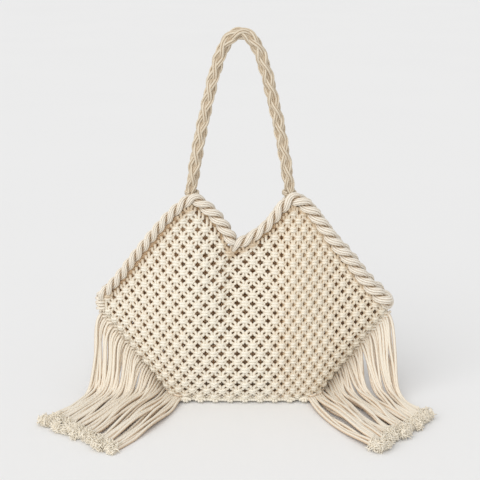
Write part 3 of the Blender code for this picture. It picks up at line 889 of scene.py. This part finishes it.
# %% Strap
BRAID_LAY = 0.087
STRAND_REACH = 0.0047
STRAND_SWING = 0.0011
STRAND_FAN = 0.0019
STRAND_CORE = 0.0016
STRAND_CORD = 0.00155
CORDS_IN_STRAND = 4
MIDDLE_CORE = 0.0040
MIDDLE_REACH = 0.0037
MIDDLE_CORD = 0.0015
CORDS_IN_MIDDLE = 9
STRAP_STEP = 0.0030
FOOT_DISTANCES, FOOT_SIZES = (0.026, 0.050), (0.86, 1.0)
STRAND_SHADE = (0.0034, 0.0073)
STRAND_CORD_SHADE = (0.0019, 0.0034)
STRAND_CORD_STRENGTH = 0.9
BRAID_PHASE = 0.3
STRAP_RISE = 0.216
STRAP_LEFT = -0.376 * CORNER
STRAP_RIGHT = 0.312 * CORNER
STRAP_FOOT_DEPTH = 0.015
STRAP_HALF = [
    (1.03, 0.00), (0.97, 0.12), (0.90, 0.25), (0.79, 0.42), (0.66, 0.59), (0.51, 0.77), (0.30, 0.935), (0.00, 1.00),
]


def strap_chain():
    middle = (STRAP_LEFT + STRAP_RIGHT) / 2
    spread = (STRAP_RIGHT - STRAP_LEFT) / 2
    left = [(middle - a * spread, 0.0, PEAK + b * STRAP_RISE) for a, b in STRAP_HALF]
    right = [(middle + a * spread, 0.0, PEAK + b * STRAP_RISE) for a, b in STRAP_HALF]
    low = PEAK - STRAP_FOOT_DEPTH
    return smooth_through([(left[0][0], 0.0, low), *left, *right[-2::-1], (right[0][0], 0.0, low)])


def round_braid(chain):
    """The routes of the strap's cords, drawn in a little at the feet, and its shade."""
    points, distance = evenly(chain, STRAP_STEP)
    across, up = frames(points)
    size = np.interp(np.minimum(distance, distance[-1] - distance), FOOT_DISTANCES, FOOT_SIZES)
    routes = bundle(points, size, MIDDLE_CORE, MIDDLE_REACH, CORDS_IN_MIDDLE, MIDDLE_CORD)
    centres = []
    swing = np.cos(3 * math.tau * distance / BRAID_LAY)
    for hand in (-1, 1):
        for strand in range(3):
            angle = hand * math.tau * distance / BRAID_LAY + math.tau * strand / 3
            reach = (STRAND_REACH + hand * STRAND_SWING * swing) * size
            centre = wind(points, across, up, reach, angle + BRAID_PHASE)
            centres.append(centre)
            routes += bundle(centre, size, STRAND_CORE, STRAND_FAN, CORDS_IN_STRAND, STRAND_CORD)
    return routes, bundle_shade(points, centres, size, STRAND_SHADE, STRAND_CORD_SHADE, STRAND_CORD_STRENGTH)


routes, shade = round_braid(strap_chain())
strap = cords("strap_braid", routes, braid_cotton, FINE_CORD, shade=shade)
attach(strap, "root")
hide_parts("strap")

# %% [markdown]
# ## The wraps at the strap's feet
# Where the strap goes into the mouth, a thin three-ply cord is wound round it and drawn tight.

# %% Strap wraps
WRAP_TURNS = 1.7
WRAP_REACH = 0.0080
WRAP_RISE = 0.0055
WRAP_HALF_HEIGHT = 0.0022
WRAP_SAG = 0.0012
WRAP_STEP = 0.0012
WRAP_LAY = 0.012
WRAP_PLY_REACH = 0.0011
WRAP_PLY = 0.0010
WRAP_SHADE = (0.0007, 0.0021)
for name, x in (("left", STRAP_LEFT), ("right", STRAP_RIGHT)):
    angle = np.linspace(0.0, math.tau * WRAP_TURNS, 80)
    height = PEAK + WRAP_RISE + np.linspace(-WRAP_HALF_HEIGHT, WRAP_HALF_HEIGHT, len(angle))
    height = height + WRAP_SAG * np.sin(angle)
    ring = np.column_stack([x + WRAP_REACH * np.cos(angle), WRAP_REACH * np.sin(angle), height])
    points, distance = evenly(ring, WRAP_STEP)
    across, up = frames(points)
    plies = [
        wind(points, across, up, WRAP_PLY_REACH, -math.tau * distance / WRAP_LAY + math.tau * ply / 3)
        for ply in range(3)
    ]
    shade = shade_near(points, 1.0, *WRAP_SHADE)
    wrap = cords("strap_wrap_cord_" + name, plies, braid_cotton, WRAP_PLY, shade=shade)
    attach(wrap, "root")
    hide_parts("strap_wrap_" + name)

# %% [markdown]
# ## The fringe
# At each slanted side the cords of both nets are tied off in a row of knots, and their ends, 165 to 210 mm long,
# hang down from it. They reach the floor and sweep forward and outward over it. Three more knots carry the row
# round the corner of the base, and two without cords of their own sit under the rope's left corner.
# No two cords fall alike: each knot's cords sway together a little, and each cord adds a wave of its own. Each
# end is left to fray into a soft tuft.

# %% Fringe cords
SEAM_BUNDLE_RADIUS = 0.005
LOCK_RADIUS = 0.0042
TUFT_RADIUS = 0.0060
OUTER_ENDS = {-1: (0.267, 0.119), 1: (0.249, 0.105)}
INNER_ENDS = {-1: (0.169, 0.210), 1: (0.164, 0.208)}
LANDING_FRONT = 0.030
LANDING_LEAN = 1.07
FRINGE_CORD = 0.0021
SEAM_KNOTS = 12
CORNER_TURNS = (9, 24, 40)
CORDS_A_KNOT = 5
CORD_SPACING = 0.19
SHARE_JITTER = 0.12
FALL_STEP = 0.004
CORD_STEP = 0.006
SMOOTHINGS = 35
BULGE_HEIGHT = 0.018
BULGE_SIZES = {-1: 1.0, 1: 0.45}
LEFT_CORNER_KNOTS = [(-0.1950, -0.006, 0.1255), (-0.1955, -0.007, 0.1345)]


def seam_line(side):
    """Top and bottom of the line of knots, just outside the net's slanted side."""
    top = np.array([SEAM_TOP_WIDTH, 0.0, SEAM_TOP_HEIGHT])
    low = np.array([BASE_HALF_WIDTH, 0.0, FOOT])
    along = (low - top) / np.linalg.norm(low - top)
    outward = np.array([-along[2], 0.0, along[0]])
    start = top + outward * (SEAM_BUNDLE_RADIUS + CLEARANCE)
    stop = start + along * (start[2] - SEAM_BUNDLE_RADIUS - CLEARANCE) / abs(along[2])
    return start * (side, 1, 1), stop * (side, 1, 1)


def knot_places(side):
    """Places of the fringe's knots: down the seam, then forward round the corner of the base."""
    top, low = seam_line(side)
    places = [top + (low - top) * (knot + 0.5) / SEAM_KNOTS for knot in range(SEAM_KNOTS)]
    for turn in np.radians(CORNER_TURNS):
        x = math.cos(turn) ** 0.5 * BASE_HALF_WIDTH
        y = math.sin(turn) ** 0.5 * BASE_HALF_DEPTH
        places.append(np.array([side * (x + 0.002), -y - 0.001, 0.0062]))
    return places


def cord_chain(side, start, share):
    """One fringe cord's line: down from its knot, then over the floor to its place in the row of ends."""
    rest = LOCK_RADIUS + CLEARANCE
    reach = np.array(OUTER_ENDS[side]) * (1 - share) + np.array(INNER_ENDS[side]) * share
    end = np.array([side * reach[0], -reach[1], TUFT_RADIUS + CLEARANCE])
    landing = np.array([start[0] * LANDING_LEAN, start[1] - LANDING_FRONT, rest])
    fall = start + (landing - start) * 0.45
    fall[2] = start[2] * 0.52 + rest * 0.48
    near = start + (landing - start) * 0.84
    near[2] = start[2] * 0.14 + rest * 1.1
    middle = (landing + end) / 2 + np.array([-side * 0.004, -0.004, 0.0])
    middle[2] = rest
    chain = evenly(smooth_through([start, fall, near, landing, middle, end]), FALL_STEP)[0]
    for _ in range(SMOOTHINGS):
        chain[1:-1] = (chain[:-2] + chain[1:-1] * 2 + chain[2:]) / 4
    return chain


def fringe_routes(side):
    """The fringe's cords on one side, and where and which way each one ends."""
    routes, tufts = [], []
    places = knot_places(side)
    for knot, place in enumerate(places):
        sway = random.uniform(0, math.tau)
        sway_size = random.uniform(0.002, 0.005) * min(0.3 + knot * 0.25, 1.0)
        before, after = places[max(knot - 1, 0)], places[min(knot + 1, len(places) - 1)]
        step = (after - before) / (2 if 0 < knot < len(places) - 1 else 1)
        gather = random.uniform(0.75, 1.05)
        cut = random.uniform(0.0, 0.012)
        bulge = random.uniform(0.5, 1.1) * (0.008 - 0.006 * knot / len(places)) * BULGE_SIZES[side]
        for cord in range(CORDS_A_KNOT):
            aside = (cord - (CORDS_A_KNOT - 1) / 2) * CORD_SPACING
            share = (knot + 0.5 + aside * gather + random.uniform(-SHARE_JITTER, SHARE_JITTER)) / len(places)
            points, distance = evenly(cord_chain(side, place + step * aside, share), CORD_STEP)
            along = distance / distance[-1]
            across, up = frames(points)
            own = random.uniform(0, math.tau)
            wave = sway_size * (np.sin(along * 5.5 + sway) - math.sin(sway)) * along ** 0.3
            wave += 0.0016 * (np.sin(along * random.uniform(6, 11) + own) - math.sin(own))
            points = points + across * wave[:, None]
            points[:, 0] += side * bulge * distance / BULGE_HEIGHT * np.exp(1 - distance / BULGE_HEIGHT)
            depth = ((cord % 2) * 2 - 1) * 0.0022 + random.uniform(-0.0015, 0.0015)
            points[:, 1] += depth * (1 - along * 0.3)
            points[:, 2] += random.uniform(0.0, 0.006) * np.sin(along * math.pi) ** 2
            points[:, 2] = np.maximum(points[:, 2], FRINGE_CORD + 0.0002)
            kept = distance <= distance[-1] - cut - random.uniform(0.0, 0.004)
            points = points[kept]
            routes.append((points, FRINGE_CORD))
            tufts.append((points[-1], points[-1] - points[-3]))
    return routes, tufts


FIBRES_A_CORD = 48
FIBRE_STEPS = np.array([0.0, 0.3, 0.55, 0.8, 1.0])
FIBRE_RADII = np.array([0.00085, 0.00085, 0.0008, 0.0007, 0.0005])
FIBRE_LENGTHS = (0.005, 0.0105)
FIBRE_SPREAD = 0.62
FIBRE_CURL = 0.32


def tuft_routes(tufts):
    """Soft short fibres that open into a puff at a cord's end."""
    routes = []
    for tip, heading in tufts:
        heading = heading / np.linalg.norm(heading)
        for fibre in range(FIBRES_A_CORD):
            spread = np.array([random.gauss(0, 1), random.gauss(0, 1), random.gauss(0.1, 0.9)])
            aim = heading * random.uniform(0.1, 1.5) + spread * FIBRE_SPREAD
            aim /= np.linalg.norm(aim)
            curl = np.cross(aim, [random.gauss(0, 1), random.gauss(0, 1), random.gauss(0, 1)])
            length = random.uniform(*FIBRE_LENGTHS)
            root = tip - heading * random.uniform(0.0, 0.003)
            bend = np.sin(FIBRE_STEPS * random.uniform(2.0, 5.0)) * FIBRE_CURL
            points = root + (aim * FIBRE_STEPS[:, None] + curl * bend[:, None]) * length
            points[:, 2] = np.maximum(points[:, 2], 0.0010)
            routes.append((points, FIBRE_RADII))
    return routes


SEAM_KNOT_CORD = 0.0019


def seam_knot_routes(side):
    """A square knot at each place along the seam, whose cords all leave downwards."""
    routes = []
    for centre in knot_places(side) + (LEFT_CORNER_KNOTS if side < 0 else []):
        for path in knot_paths(OPEN_BUMP).values():
            local = np.array(path) * 0.001
            points = np.column_stack([local[:, 0], -local[:, 2] * 1.2, local[:, 1]])
            points[:, 0] *= 0.95
            points = points + np.array(centre)
            points[:, 2] = np.maximum(points[:, 2], NET_CORD + 0.0003)
            routes.append((points, SEAM_KNOT_CORD))
    return routes


def fringe_shade(places, normals):
    """Browner on the sides that face the next cord: left and right where cords hang, and those that don't face
    up where they lie on the floor."""
    lying = np.clip((0.030 - places[:, 2]) / 0.020, 0.0, 1.0)
    open_when_hanging = np.hypot(normals[:, 1], normals[:, 2] * 0.5)
    open_when_lying = np.clip(normals[:, 2] + 0.15, 0, 1)
    open_side = (1 - lying) * open_when_hanging + lying * open_when_lying
    return np.minimum((0.80 - open_side) / 0.62, 1.0)


for name, side in (("left", -1), ("right", 1)):
    routes, tufts = fringe_routes(side)
    fringe = cords(
        "fringe_cords_" + name, routes + seam_knot_routes(side), fringe_cotton, FRINGE_CORD, shade=fringe_shade,
    )
    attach(fringe, "root")
    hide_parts("fringe_" + name)
    tuft = cords("fringe_tufts_" + name, tuft_routes(tufts), tuft_cotton, 0.0008, sides=4)
    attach(tuft, "root")
